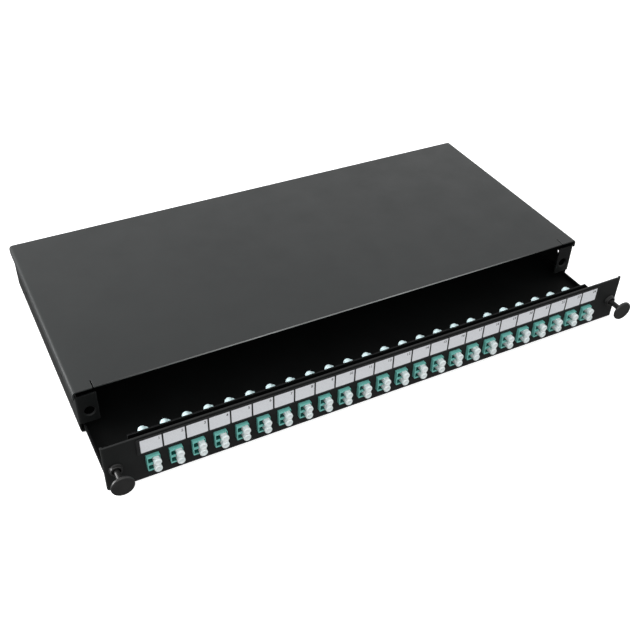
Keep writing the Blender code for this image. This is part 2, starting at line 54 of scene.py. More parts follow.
# ---- places taken from the frame ----
BASE_LOW, BASE_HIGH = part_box("chassis_base")
COVER_LOW, COVER_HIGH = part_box("top_cover")
TRAY_LOW, TRAY_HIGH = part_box("tray")
PANEL_LOW, PANEL_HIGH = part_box("front_panel")
STRIP_LOW, STRIP_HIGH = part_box("label_strip")
CASSETTE_LOW, CASSETTE_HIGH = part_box("splice_cassette")
ADAPTERS = sorted(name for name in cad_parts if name.startswith("adapter_"))

# ---- sheet metal ----
SHEET = 1.2 * MM
PANEL_SHEET = 1.5 * MM
FOLD_RADIUS = 1.6 * MM
COVER_FOLD_RADIUS = 3 * MM
FOLD_SEGMENTS = 6
EDGE_RADIUS = 0.2 * MM
CUT_OVER = 1.0 * MM  # cutters reach this far past what they cut
HOLE_CUTTER = 8 * MM  # lengths of the round cutters for holes in sheet
LATCH_HOLE_CUTTER = 6 * MM
FLANGE_INNER = 206 * MM
FLANGE_LOW = 9 * MM
FLANGE_HIGH = 34.5 * MM
FLANGE_HOLE_RADIUS = 3.75 * MM
HOLE_FLARE = 0.7 * MM
CUT_INTO = 0.05 * MM  # a cutter goes this far into a face that it would only touch
SLIT_X = 207.3 * MM
SLIT_WIDTH = 0.9 * MM
SLIT_DEPTH = 8 * MM
EAR_HOLE_Y = (-85 * MM, -55 * MM, -16 * MM, 16 * MM, 55 * MM, 87 * MM)
EAR_HOLE_Z = 19 * MM
EAR_HOLE_RADIUS = 1.7 * MM
CUT_EDGE_DEPTH = 0.5 * MM  # the cover's cut front edge lies within this of its front
WINDOW_WIDTH = 9.9 * MM
WINDOW_HEIGHT = 13.6 * MM
COLLAR_HOLE_RADIUS = 3.45 * MM
TRAY_LIP = 5 * MM
WALL_SETBACK = 6.6 * MM  # adapter wall behind the panel's front
WALL_FOOT = 0.5 * MM  # the wall starts this far inside the tray's floor
WALL_LEFT = -200 * MM
WALL_RIGHT = 194 * MM
WALL_TOP = 38.4 * MM
WALL_CORNER = 6 * MM
STOP_TAB_LENGTH = 8 * MM
STOP_TAB_THICK = 1.0 * MM
STOP_TAB_TOP = 12 * MM
STOP_TAB_ROOT = 3 * MM  # a tab starts this far below the top of the tray's lip
DRAWER_LEFT_TO_PULL = 70 * MM
TIE_SLOT_X = (-185 * MM, -120 * MM, 120 * MM, 185 * MM)
TIE_SLOT_Y = (-60 * MM, 0.0)
TIE_SLOT_LONG = 8 * MM
TIE_SLOT_WIDE = 3 * MM
TIE_SLOT_PITCH = 9 * MM  # tie slots come in pairs

# ---- labels ----
CELL_WIDTH = 15.25 * MM
CELL_MARGIN_LOW = 1.0 * MM
CELL_MARGIN_HIGH = 1.2 * MM
CELL_DEPTH = 0.35 * MM
STRIP_CORNER = 1.0 * MM
STRIP_EDGE = 0.12 * MM
CARD_CLEARANCE = 0.1 * MM
CARD_THICK = 0.2 * MM
CARD_LIFT = 0.02 * MM  # between the card's back and the cell's floor
CARD_CORNER = 0.4 * MM
CARD_EDGE = 0.03 * MM
NUMBER_SIZE = 3.3 * MM
NUMBER_WEIGHT = 0.04 * MM
NUMBER_RAISE = 0.02 * MM
NUMBER_FROM_SIDE = 1.0 * MM
NUMBER_FROM_TOP = 0.9 * MM

# ---- duplex adapter, from its nose's front face, +Y inwards ----
ADAPTER_WIDTH = 9.3 * MM
ADAPTER_HEIGHT = 13.0 * MM
ADAPTER_LENGTH = 25.0 * MM
ADAPTER_CORNER = 0.5 * MM
ADAPTER_EDGE = 0.14 * MM
WING_FRONT = 10.6 * MM
WING_BACK = 12.3 * MM
WING_WIDTH = 11.6 * MM
WING_HEIGHT = 15.4 * MM
WING_CORNER = 0.8 * MM
PORT_OFFSET = 1.65 * MM
PORT_SPACING = 6.25 * MM
PORT_WIDTH = 5.0 * MM
PORT_TALL = 5.2 * MM
PORT_DEPTH = 5.0 * MM
LATCH_WIDTH = 3.1 * MM
LATCH_TALL = 3.8 * MM
LATCH_DEPTH = 6.0 * MM
LATCH_OVERLAP = 0.5 * MM  # a latch slot runs this far into its port
DOT_RADIUS = 0.55 * MM
DOT_DEPTH = 1.0 * MM
DOT_FROM_SIDE = 0.95 * MM
DOT_FROM_TOP = 1.0 * MM
SEAM_BEHIND_NOSE = 18.5 * MM
SEAM_WIDTH = 0.25 * MM
SEAM_DEPTH = 0.15 * MM
CLIP_THICK = 0.3 * MM
CLIP_FRONT = 12.8 * MM
CLIP_BACK = 18.0 * MM
CLIP_CLEARANCE = 0.05 * MM
CLIP_EDGE = 0.06 * MM
TONGUE_SPREAD = 1.1 * MM  # how far a tongue's free end stands out
TONGUE_HALF_HEIGHT = 2.5 * MM
CAP_RADIUS = 2.85 * MM
CAP_GAP = 0.3 * MM
CAP_LENGTH = 3.9 * MM
CAP_NECK_RADIUS = 2.0 * MM
CAP_NECK = 1.2 * MM
CAP_WEB = 4.4 * MM
REAR_CAP_RADIUS = 3.1 * MM
REAR_CAP_LENGTH = 7.0 * MM
LUG_RADIUS = 1.8 * MM
LUG_REACH = 2.7 * MM
LUG_SETBACK = 2.6 * MM
CAP_PLUG = 4.4 * MM
CAP_PLUG_CORNER = 0.5 * MM
CAP_PLUG_SHORT = 1.0 * MM  # a plug ends this far before its port's floor
CAP_PLUG_ROOT = 0.5 * MM  # and starts this far inside its cap
REAR_CAP_PLUG_ROOT = 0.6 * MM
CAP_EDGE = 0.1 * MM

# ---- latch plunger, from the panel's front plane, positive outwards ----
HEAD_RADIUS = 8.2 * MM
HEAD_BACK = 15.3 * MM
HEAD_FRONT = 17.3 * MM
NECK_RADIUS = 2.65 * MM
NECK_FLARE = 0.7 * MM
NECK_END = 13.0 * MM
PIN_RADIUS = 2.1 * MM
PIN_END = -4.0 * MM
COLLAR_FOOT_RADIUS = 4.9 * MM
COLLAR_RADIUS = 4.3 * MM
COLLAR_FOOT = 1.1 * MM
COLLAR_FRONT = 3.0 * MM
COLLAR_SEAT = 0.9 * MM
COLLAR_LEG_RADIUS = 3.1 * MM
COLLAR_LEG_END = -8.0 * MM
COUNTERBORE_RADIUS = 2.95 * MM
COLLAR_BORE_RADIUS = 2.45 * MM
LEG_SLOT = 0.8 * MM
LEG_SLOT_END = -2.2 * MM

# ---- rear fittings ----
REAR_WALL = BASE_HIGH.y
GLAND_FLATS = 22 * MM
GLAND_HEX_LENGTH = 6 * MM
GLAND_DOME_RADIUS = 10 * MM
GLAND_MOUTH_RADIUS = 7.5 * MM
GLAND_DOME_LENGTH = 12 * MM
GLAND_BORE_RADIUS = 5 * MM
GLAND_BORE_CUTTER = 90 * MM
GLAND_THREAD_RADIUS = 9.3 * MM
GLAND_THREAD_PITCH = 1.5 * MM
GLAND_THREAD_PAST_NUT = 2 * MM
GLAND_THREAD_IN_HEX = 0.5 * MM
GLAND_EDGE = 0.15 * MM
GRIP_RIBS = 18
DOME_EDGE = 0.12 * MM
LOCKNUT_THICK = 4 * MM
LOCKNUT_HOLE_RADIUS = GLAND_THREAD_RADIUS + 0.1 * MM
CABLE_HOLE_RADIUS = 9.7 * MM
SEAT_GAP = 0.3 * MM
SCREW_X = (-180 * MM, 0.0, 180 * MM)
SCREW_UP_LIP = 2.1 * MM  # screw centre above the lip's lower edge
SCREW_HEAD_RADIUS = 1.9 * MM
SCREW_HEAD_RISE = 1.3 * MM
SCREW_EDGE = 0.06 * MM

# ---- splice cassette ----
CASSETTE_CORNER = 9 * MM
LID_INSET = 3 * MM
LID_THICK = 1.5 * MM
LID_RIBS = (25 * MM, 40 * MM, 55 * MM)
CASSETTE_EDGE = 0.3 * MM
CATCH_UP = 4 * MM

ROUND_STEPS = 48  # sides of a round piece: usual, small and large
SMALL_ROUND_STEPS = 32
LARGE_ROUND_STEPS = 64
SHARP_ANGLE = math.radians(32)


# ---- mesh helpers ----
def mesh_from(bm, name):
    mesh = bpy.data.meshes.new(name)
    bm.to_mesh(mesh)
    bm.free()
    return mesh


def add_box_to(bm, low, high):
    """Add a box between two corners; gives the set of its faces."""
    low = Vector(low)
    high = Vector(high)
    place = Matrix.Translation((low + high) / 2) @ Matrix.Diagonal((*(high - low), 1.0))
    made = bmesh.ops.create_cube(bm, size=1.0, matrix=place)
    return {face for vert in made["verts"] for face in vert.link_faces}


def box_about_z(x, y, half_x, half_y, low_z, high_z):
    """Corners of a box centred on (x, y)."""
    return (x - half_x, y - half_y, low_z), (x + half_x, y + half_y, high_z)


def box_about_y(x, z, half_x, half_z, low_y, high_y):
    """Corners of a box centred on (x, z)."""
    return (x - half_x, low_y, z - half_z), (x + half_x, high_y, z + half_z)


def boxes_mesh(boxes):
    """Boxes, each given as (low corner, high corner)."""
    bm = bmesh.new()
    for low, high in boxes:
        add_box_to(bm, low, high)
    return mesh_from(bm, "boxes")


def rounded_box_mesh(low, high, radius, axis, segments=5):
    """A box whose four edges along one axis are rounded."""
    bm = bmesh.new()
    add_box_to(bm, low, high)
    along = [edge for edge in bm.edges
             if abs((edge.verts[0].co - edge.verts[1].co).normalized()[axis]) > 0.9]
    bmesh.ops.bevel(bm, geom=along, offset=radius, segments=segments, affect="EDGES", profile=0.5)
    return mesh_from(bm, "rounded_box")


def rods_mesh(rods, sides=ROUND_STEPS):
    """Round rods, each given as (centre, axis index, radius, length)."""
    turns = (Matrix.Rotation(math.pi / 2, 4, "Y"), Matrix.Rotation(math.pi / 2, 4, "X"),
             Matrix.Identity(4))
    bm = bmesh.new()
    for centre, axis, radius, length in rods:
        bmesh.ops.create_cone(bm, cap_ends=True, segments=sides, radius1=radius, radius2=radius,
                              depth=length, matrix=Matrix.Translation(centre) @ turns[axis])
    return mesh_from(bm, "rods")


def arc(centre_radius, centre_height, radius, start, stop, points=6):
    """Points (radius, height) of an arc in a turned profile; angles in degrees from outwards to up."""
    turns = [math.radians(start + (stop - start) * step / points) for step in range(points + 1)]
    return [(centre_radius + radius * math.cos(turn), centre_height + radius * math.sin(turn))
            for turn in turns]


def turned_mesh(profile, closed=False, steps=ROUND_STEPS):
    """Turn (radius, height) points round Z; the profile runs down its outer side."""
    bm = bmesh.new()
    verts = [bm.verts.new((radius, 0.0, height)) for radius, height in profile]
    ends = verts[1:] + verts[:1] if closed else verts[1:]
    edges = [bm.edges.new(pair) for pair in zip(verts, ends)]
    bmesh.ops.spin(bm, geom=verts + edges, axis=(0, 0, 1), cent=(0, 0, 0),
                   angle=2 * math.pi, steps=steps, use_merge=True)
    bmesh.ops.remove_doubles(bm, verts=bm.verts, dist=1e-7)
    bmesh.ops.recalc_face_normals(bm, faces=bm.faces)
    return mesh_from(bm, "turned")


def moved(mesh, matrix):
    """The same mesh after a move of its points."""
    mesh.transform(matrix)
    return mesh


def staggered(mesh, share):
    """The same mesh turned by a share of a round piece's step, so that its points miss another's."""
    return moved(mesh, Matrix.Rotation(2 * math.pi * share / ROUND_STEPS, 4, "Z"))


def facing_front(mesh, origin):
    """Turn a mesh made round +Z so that +Z points out of the front, and place it."""
    return moved(mesh, Matrix.Translation(origin) @ Matrix.Rotation(math.pi / 2, 4, "X"))


def facing_back(mesh, origin):
    """Turn a mesh made round +Z so that +Z points out of the back, and place it."""
    return moved(mesh, Matrix.Translation(origin) @ Matrix.Rotation(-math.pi / 2, 4, "X"))


def temporary(mesh):
    """A helper object, which applied() removes again."""
    obj = bpy.data.objects.new("temporary", mesh)
    bpy.context.scene.collection.objects.link(obj)
    return obj


def applied(obj, extra=()):
    """The object's mesh with its modifiers applied; the object and extra helpers are removed."""
    bpy.context.view_layer.update()
    evaluated = obj.evaluated_get(bpy.context.evaluated_depsgraph_get())
    mesh = bpy.data.meshes.new_from_object(evaluated)
    for helper in (obj, *extra):
        bpy.data.objects.remove(helper, do_unlink=True)
    return mesh


def combined(mesh, steps):
    """The mesh after Boolean steps, each given as (operation, other mesh)."""
    body = temporary(mesh)
    tools = []
    for operation, other in steps:
        tool = temporary(other)
        tools.append(tool)
        step = body.modifiers.new("step", "BOOLEAN")
        step.operation = operation
        step.solver = "EXACT"
        step.object = tool
    return applied(body, tools)


def cut(mesh, *others):
    return combined(mesh, [("DIFFERENCE", other) for other in others])


def joined(mesh, *others):
    return combined(mesh, [("UNION", other) for other in others])


def cross_meshes(arm, half, low_z, high_z):
    """Two crossing boxes round Z, used to cut a cross."""
    return [boxes_mesh([box_about_z(0, 0, x, y, low_z, high_z)]) for x, y in ((arm, half), (half, arm))]


def merged(meshes):
    """Several separate meshes as one."""
    bm = bmesh.new()
    for mesh in meshes:
        bm.from_mesh(mesh)
    return mesh_from(bm, "merged")


def folded_sheet(low, high, open_sides, thickness, radius=FOLD_RADIUS):
    """Sheet metal folded from a flat blank into a box that is open on some sides."""
    bm = bmesh.new()
    faces = add_box_to(bm, low, high)
    bm.normal_update()
    missing = [face for face in faces
               if any(face.normal.dot(Vector(side)) > 0.9 for side in open_sides)]
    bmesh.ops.delete(bm, geom=missing, context="FACES")
    obj = temporary(mesh_from(bm, "sheet"))
    fold = obj.modifiers.new("folds", "BEVEL")
    fold.width = radius
    fold.segments = FOLD_SEGMENTS
    fold.limit_method = "ANGLE"
    skin = obj.modifiers.new("sheet", "SOLIDIFY")
    skin.thickness = thickness
    skin.offset = -1.0
    skin.use_even_offset = True
    return applied(obj)


def smooth(mesh):
    """The same mesh with its round faces smooth and its sharp edges kept."""
    mesh.shade_smooth()
    mesh.set_sharp_from_angle(angle=SHARP_ANGLE)
    return mesh


def soft_edges(mesh, radius=EDGE_RADIUS, segments=2):
    """The mesh with its sharp edges slightly rounded and its round faces smooth."""
    obj = temporary(smooth(mesh))
    rim = obj.modifiers.new("edges", "BEVEL")
    rim.width = radius
    rim.segments = segments
    rim.limit_method = "ANGLE"
    rim.angle_limit = SHARP_ANGLE
    rim.harden_normals = True
    return applied(obj)


def add_piece(name, mesh, body, material, stands_for=(), at=(0, 0, 0)):
    """A visible piece that rides on a CAD body and may stand for CAD nodes."""
    piece = bpy.data.objects.new(name, mesh)
    bpy.context.scene.collection.objects.link(piece)
    if not mesh.materials:
        mesh.materials.append(material)
    piece.location = at
    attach(piece, body)
    if stands_for:
        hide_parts(*stands_for)
    return piece


# ---- materials ----
FLOOR_GLOW = 0.6
HIGHLIGHT_FULL_REACH = 100 * MM  # the painted highlight on the cover's front edge is full this far each side of its middle
HIGHLIGHT_END_REACH = 200 * MM  # and gone from here on
ORANGE_PEEL = 1.6 * MM  # size and height of the powder coat's grain
ORANGE_PEEL_HEIGHT = 0.2 * MM
ORANGE_PEEL_STRENGTH = 0.12
MIX_FIRST = 6  # a colour Mix node's sockets
MIX_SECOND = 7
MIX_RESULT = 2


def set_inputs(node, values):
    """Set a node's unlinked inputs by name."""
    for key, value in values.items():
        node.inputs[key].default_value = value


class Finish:
    """A Principled material with procedural detail, in object coordinates."""

    def __init__(self, name, roughness, metallic=0.0, specular=0.5):
        self.material = bpy.data.materials.new(name)
        self.material.use_nodes = True
        self.tree = self.material.node_tree
        self.shader = self.tree.nodes["Principled BSDF"]
        set_inputs(self.shader, {"Roughness": roughness, "Metallic": metallic,
                                 "Specular IOR Level": specular})
        self.place = self.tree.nodes.new("ShaderNodeTexCoord").outputs["Object"]

    def link(self, source, target):
        self.tree.links.new(source, target)

    def noise(self, size, detail=3.0, roughness=0.55):
        """Noise whose features are about size metres across."""
        node = self.tree.nodes.new("ShaderNodeTexNoise")
        set_inputs(node, {"Scale": 1.0 / size, "Detail": detail, "Roughness": roughness})
        self.link(self.place, node.inputs["Vector"])
        return node.outputs["Fac"]

    def compute(self, operation, first, second):
        """A Math node's result for two numbers or sockets."""
        node = self.tree.nodes.new("ShaderNodeMath")
        node.operation = operation
        for socket, value in zip(node.inputs, (first, second)):
            if isinstance(value, (int, float)):
                socket.default_value = value
            else:
                self.link(value, socket)
        return node.outputs[0]

    def spread(self, factor, low, high, out_low=0.0, out_high=1.0):
        """Stretch a factor from low..high to out_low..out_high."""
        node = self.tree.nodes.new("ShaderNodeMapRange")
        set_inputs(node, {"From Min": low, "From Max": high, "To Min": out_low, "To Max": out_high})
        self.link(factor, node.inputs["Value"])
        return node.outputs["Result"]

    def blend(self, factor, first, second):
        """Mix two colours, each a tuple or a socket."""
        node = self.tree.nodes.new("ShaderNodeMix")
        node.data_type = "RGBA"
        self.link(factor, node.inputs["Factor"])
        for socket, value in zip((node.inputs[MIX_FIRST], node.inputs[MIX_SECOND]), (first, second)):
            if isinstance(value, tuple):
                socket.default_value = (*value, 1.0)
            else:
                self.link(value, socket)
        return node.outputs[MIX_RESULT]

    def worn_edges(self, radius):
        """Near 1 along convex edges, 0 on flat faces."""
        flat_dot, edge_dot = 0.97, 0.75
        soft = self.tree.nodes.new("ShaderNodeBevel")
        soft.samples = 4
        set_inputs(soft, {"Radius": radius})
        flat = self.tree.nodes.new("ShaderNodeNewGeometry")
        dot = self.tree.nodes.new("ShaderNodeVectorMath")
        dot.operation = "DOT_PRODUCT"
        self.link(soft.outputs["Normal"], dot.inputs[0])
        self.link(flat.outputs["Normal"], dot.inputs[1])
        return self.spread(dot.outputs["Value"], flat_dot, edge_dot)

    def colour(self, source):
        if isinstance(source, tuple):
            self.shader.inputs["Base Color"].default_value = (*source, 1.0)
        else:
            self.link(source, self.shader.inputs["Base Color"])

    def roughness(self, source):
        self.link(source, self.shader.inputs["Roughness"])

    def bump(self, height, strength, distance):
        node = self.tree.nodes.new("ShaderNodeBump")
        set_inputs(node, {"Strength": strength, "Distance": distance})
        self.link(height, node.inputs["Height"])
        self.link(node.outputs["Normal"], self.shader.inputs["Normal"])


def powder_coat(name, dark, light, edge_wear_and_highlight, specular, roughness):
    """Baked powder coat: orange peel, cloudy gloss and convex edges painted lighter in patches, partly
    edge wear and partly painted highlight.
    """
    finish = Finish(name, roughness, specular=specular)
    clouds = finish.noise(70 * MM, detail=4)
    specks = finish.noise(ORANGE_PEEL, detail=2)
    coat = finish.blend(finish.spread(clouds, 0.3, 0.7), dark, light)
    patchy = finish.spread(finish.noise(12 * MM, detail=3), 0.25, 0.55)
    # convex edges turn towards the edge colour: partly edge wear, partly a painted highlight where light
    # catches them
    edges = finish.compute("MULTIPLY", finish.worn_edges(0.5 * MM), patchy)
    finish.colour(finish.blend(edges, coat, edge_wear_and_highlight))
    finish.roughness(finish.spread(finish.noise(30 * MM, detail=5), 0.25, 0.75,
                                   roughness - 0.05, roughness + 0.06))
    finish.bump(specks, ORANGE_PEEL_STRENGTH, ORANGE_PEEL_HEIGHT)
    return finish.material


def cut_edge_coat(name, full, highlight):
    """Powder coat on a long cut edge with a painted highlight: the full coat colour at its ends, pale in
    the middle.
    """
    finish = Finish(name, 0.42, specular=0.3)
    split = finish.tree.nodes.new("ShaderNodeSeparateXYZ")
    finish.link(finish.place, split.inputs[0])
    from_middle = finish.compute("ABSOLUTE", split.outputs["X"], 0.0)
    middle = finish.spread(from_middle, HIGHLIGHT_FULL_REACH, HIGHLIGHT_END_REACH, 1.0, 0.0)
    patchy = finish.spread(finish.noise(50 * MM, detail=4), 0.25, 0.75, 0.55, 1.0)
    # the pale middle is a painted highlight, broken up in patches
    finish.colour(finish.blend(finish.compute("MULTIPLY", middle, patchy), full, highlight))
    finish.bump(finish.noise(ORANGE_PEEL, detail=2), ORANGE_PEEL_STRENGTH, ORANGE_PEEL_HEIGHT)
    return finish.material


def moulded_plastic(name, dark, light, roughness, grain=0.9 * MM, strength=0.08, glow=0.0):
    """Moulded plastic with a faint erosion texture and slow colour drift."""
    finish = Finish(name, roughness)
    drift = finish.spread(finish.noise(6 * MM, detail=3), 0.3, 0.7)
    finish.colour(finish.blend(drift, dark, light))
    finish.roughness(finish.spread(finish.noise(4 * MM, detail=4), 0.3, 0.7,
                                   roughness - 0.06, roughness + 0.08))
    finish.bump(finish.noise(grain, detail=2), strength, 0.1 * MM)
    if glow > 0:
        set_inputs(finish.shader, {"Subsurface Weight": glow, "Subsurface Radius": (0.8, 1.0, 1.0),
                                   "Subsurface Scale": 1.2 * MM})
    return finish.material


def paper_card(name):
    """Matt label card with fibre grain."""
    finish = Finish(name, 0.75, specular=0.25)
    fibres = finish.noise(1.2 * MM, detail=6, roughness=0.7)
    shade = finish.spread(fibres, 0.35, 0.65)
    finish.colour(finish.blend(shade, (0.72, 0.735, 0.765), (0.80, 0.815, 0.845)))
    finish.bump(fibres, 0.15, 0.06 * MM)
    return finish.material


def bright_steel(name):
    """Rolled and zinc-plated steel of clips and screws."""
    finish = Finish(name, 0.32, metallic=1.0)
    finish.colour(finish.blend(finish.noise(3 * MM, detail=5), (0.45, 0.46, 0.48), (0.62, 0.63, 0.64)))
    finish.roughness(finish.spread(finish.noise(1.5 * MM, detail=4), 0.2, 0.8, 0.24, 0.42))
    finish.bump(finish.noise(0.6 * MM, detail=3), 0.1, 0.05 * MM)
    return finish.material


def printed_ink(name):
    """Black ink, a little uneven."""
    finish = Finish(name, 0.6)
    finish.colour(finish.blend(finish.noise(0.8 * MM), (0.02, 0.02, 0.022), (0.07, 0.07, 0.075)))
    return finish.material


def pale_floor(name):
    """Matt white studio floor that gives off some light of its own."""
    finish = Finish(name, 0.8, specular=0.1)
    finish.colour(finish.blend(finish.noise(400 * MM), (0.86, 0.86, 0.86), (0.88, 0.88, 0.88)))
    set_inputs(finish.shader, {"Emission Color": (1.0, 1.0, 1.0, 1.0), "Emission Strength": FLOOR_GLOW})
    return finish.material


# the cover's pale edge colour (0.20) is mostly a painted highlight along its edges and folds
COAT = powder_coat("powder_coat", (0.0182, 0.0202, 0.0202), (0.0206, 0.0228, 0.0228),
                   (0.20, 0.205, 0.205), specular=0.3, roughness=0.46)
EDGE_HIGHLIGHT = cut_edge_coat("edge_painted_highlight", (0.035, 0.037, 0.037), (0.48, 0.485, 0.485))
# a darker copy of the cover's coat: painted shade on the housing's flanges and walls
BASE_SHADED_COAT = powder_coat("base_coat_painted_shade", (0.0062, 0.0068, 0.0068), (0.0074, 0.0081, 0.0081),
                        (0.045, 0.046, 0.046), specular=0.2, roughness=0.5)
# a darker copy of the cover's coat: painted shade on the drawer's upright front
PANEL_SHADED_COAT = powder_coat("panel_coat", (0.0105, 0.0112, 0.0112), (0.0150, 0.0158, 0.0158),
                         (0.05, 0.052, 0.055), specular=0.2, roughness=0.5)
# a near-black copy of the cover's coat: painted shade inside the housing
TRAY_SHADED_COAT = powder_coat("tray_coat_painted_shade", (0.0025, 0.0028, 0.0028), (0.004, 0.0044, 0.0044),
                        (0.04, 0.042, 0.045), specular=0.08, roughness=0.6)
STRIP = moulded_plastic("strip_plastic", (0.006, 0.006, 0.0065), (0.010, 0.010, 0.0105), 0.5)
CARD = paper_card("label_card")
INK = printed_ink("printed_ink")
AQUA = moulded_plastic("aqua_plastic", (0.155, 0.51, 0.455), (0.21, 0.60, 0.54), 0.38, glow=0.05)
# darker aqua for the adapter's hollow: painted shade in its ports and latch slots
AQUA_PAINTED_SHADE = moulded_plastic("aqua_painted_shade", (0.005, 0.095, 0.078), (0.010, 0.14, 0.115), 0.5)
CAP = moulded_plastic("cap_plastic", (0.75, 0.84, 0.845), (0.84, 0.90, 0.905), 0.35, glow=0.15)
REAR_CAP = moulded_plastic("rear_cap_plastic", (0.54, 0.71, 0.735), (0.64, 0.79, 0.81), 0.35, glow=0.1)
NYLON = moulded_plastic("nylon", (0.010, 0.010, 0.010), (0.017, 0.017, 0.017), 0.4,
                        grain=0.6 * MM, strength=0.12)
GLAND = moulded_plastic("gland_plastic", (0.014, 0.014, 0.014), (0.024, 0.024, 0.024), 0.5)
STEEL = bright_steel("bright_steel")


# ---- housing ----
def side_pair(x, y, z):
    """The same place on the left and on the right."""
    return [Vector((side * x, y, z)) for side in (-1, 1)]


def plunger_axis(side_name):
    """Where a plunger's axis meets the front panel's face."""
    low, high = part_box(f"plunger_{side_name}")
    return Vector(((low.x + high.x) / 2, PANEL_LOW.y, (low.z + high.z) / 2))


def latch_places(y):
    """Centres of the two latch holes at a given depth."""
    axis = plunger_axis("right")
    return side_pair(axis.x, y, axis.z)


def cable_entry(node):
    """Where the axis of a node on the rear wall meets the wall's outer face."""
    low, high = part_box(node)
    return Vector(((low.x + high.x) / 2, REAR_WALL, (low.z + high.z) / 2))


def flare_mesh(place):
    """Cutter for the flared front edge of a latch hole."""
    wide = FLANGE_HOLE_RADIUS + HOLE_FLARE
    narrow = FLANGE_HOLE_RADIUS - CUT_INTO
    depth = HOLE_FLARE + CUT_INTO
    cone = turned_mesh([(0.0, CUT_OVER), (wide + CUT_OVER, CUT_OVER), (narrow, -depth), (0.0, -depth)])
    return facing_front(staggered(cone, 0.5), place)


def make_housing_base():
    """Floor, side walls, rear wall and two front flanges, with their openings and holes."""
    low, high = BASE_LOW, BASE_HIGH
    front = low.y - CUT_OVER
    inside = low.y + SHEET + CUT_OVER
    top = high.z + CUT_OVER
    shell = folded_sheet(low, high, [(0, 0, 1)], SHEET)
    opening = boxes_mesh([((-FLANGE_INNER, front, FLANGE_LOW - CUT_OVER), (FLANGE_INNER, inside, top))])
    tray_slot = boxes_mesh([((low.x - CUT_OVER, front, SHEET), (high.x + CUT_OVER, inside, FLANGE_LOW))])
    relief_half = high.x - SHEET + CUT_INTO
    relief = boxes_mesh([((-relief_half, front, FLANGE_HIGH), (relief_half, inside, top))])
    latches = latch_places(low.y)
    holes = [(place, 1, FLANGE_HOLE_RADIUS, LATCH_HOLE_CUTTER) for place in latches]
    holes += [(cable_entry(node), 1, CABLE_HOLE_RADIUS, HOLE_CUTTER)
              for node in ("cable_gland", "blanking_plug")]
    ears = [(place, 0, EAR_HOLE_RADIUS, HOLE_CUTTER)
            for y in EAR_HOLE_Y for place in side_pair(high.x, y, EAR_HOLE_Z)]
    flares = [flare_mesh(place) for place in latches]
    shell = cut(shell, opening, tray_slot, relief, rods_mesh(holes), rods_mesh(ears, sides=24), *flares)
    add_piece("housing_base", soft_edges(shell), "housing", BASE_SHADED_COAT, ["chassis_base"])


def coat_front_edge(mesh, front, reach):
    """Give the cover's cut front edge, between its folds, the pale material of a painted highlight."""
    mesh.materials.append(COAT)
    mesh.materials.append(EDGE_HIGHLIGHT)
    for face in mesh.polygons:
        at_front = face.normal.y < -0.5 and face.center.y < front + CUT_EDGE_DEPTH
        if at_front and abs(face.center.x) < reach:
            face.material_index = 1


def make_cover():
    """Top sheet folded down at the sides and the back, with a slit near each front corner."""
    low, high = COVER_LOW, COVER_HIGH
    shell = folded_sheet(low, high, [(0, 0, -1), (0, -1, 0)], SHEET, COVER_FOLD_RADIUS)
    slits = [((x - SLIT_WIDTH / 2, low.y - CUT_OVER, high.z - SHEET - CUT_OVER),
              (x + SLIT_WIDTH / 2, low.y + SLIT_DEPTH, high.z + CUT_OVER))
             for x in (-SLIT_X, SLIT_X)]
    shell = soft_edges(cut(shell, boxes_mesh(slits)))
    coat_front_edge(shell, low.y, high.x - COVER_FOLD_RADIUS)
    add_piece("housing_cover", shell, "housing", COAT, ["top_cover"])


def screw_mesh():
    """Pan head with a cross recess."""
    crown = 3.4 * MM
    rim = 0.3 * MM
    profile = [(0.0, SCREW_HEAD_RISE), *arc(0.0, SCREW_HEAD_RISE - crown, crown, 78, 60, 4),
               (SCREW_HEAD_RADIUS, rim), (SCREW_HEAD_RADIUS, 0.0), (0.0, 0.0)]
    recess = cross_meshes(arm=1.1 * MM, half=0.25 * MM, low_z=0.5 * MM, high_z=3 * MM)
    return soft_edges(cut(turned_mesh(profile, steps=SMALL_ROUND_STEPS), *recess), SCREW_EDGE)


def make_cover_screws():
    """Screws through the cover's rear lip."""
    mesh = facing_back(screw_mesh(), (0, 0, 0))
    for number, x in enumerate(SCREW_X, start=1):
        place = (x, COVER_HIGH.y, COVER_LOW.z + SCREW_UP_LIP)
        add_piece(f"cover_screw_{number}", mesh, "housing", STEEL, at=place)


# ---- drawer ----
def port_places():
    """Centre of each adapter's nose face."""
    places = []
    for name in ADAPTERS:
        low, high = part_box(name)
        places.append(Vector(((low.x + high.x) / 2, low.y, (low.z + high.z) / 2)))
    return places


def window_boxes(front, back):
    """Cutters for the adapters' windows in a sheet between two depths."""
    return [box_about_y(place.x, place.z, WINDOW_WIDTH / 2, WINDOW_HEIGHT / 2,
                        front - CUT_OVER, back + CUT_OVER) for place in port_places()]


def adapter_wall_mesh(low, high):
    """Upright wall across the drawer, its top right corner cut off."""
    bm = bmesh.new()
    add_box_to(bm, low, high)
    top_right = max(bm.edges, key=lambda edge: sum(vert.co.x + vert.co.z for vert in edge.verts))
    bmesh.ops.bevel(bm, geom=[top_right], offset=WALL_CORNER, segments=1, affect="EDGES")
    return mesh_from(bm, "adapter_wall")


def stop_tab_boxes(outer, lip_top):
    """Tabs on the tray's side lips, which meet the housing's flanges at the end of the travel."""
    front = BASE_LOW.y + SHEET + SEAT_GAP + DRAWER_LEFT_TO_PULL
    boxes = []
    for side in (-1, 1):
        middle = side * (outer - SHEET / 2)
        boxes.append(((middle - STOP_TAB_THICK / 2, front, lip_top - STOP_TAB_ROOT),
                      (middle + STOP_TAB_THICK / 2, front + STOP_TAB_LENGTH, STOP_TAB_TOP)))
    return boxes


def tie_slot_boxes(bottom, top):
    """Pairs of slots in the tray's floor for cable ties."""
    return [box_about_z(x, y + step, TIE_SLOT_LONG / 2, TIE_SLOT_WIDE / 2,
                        bottom - CUT_OVER, top + CUT_OVER)
            for x in TIE_SLOT_X for y in TIE_SLOT_Y for step in (0, TIE_SLOT_PITCH)]


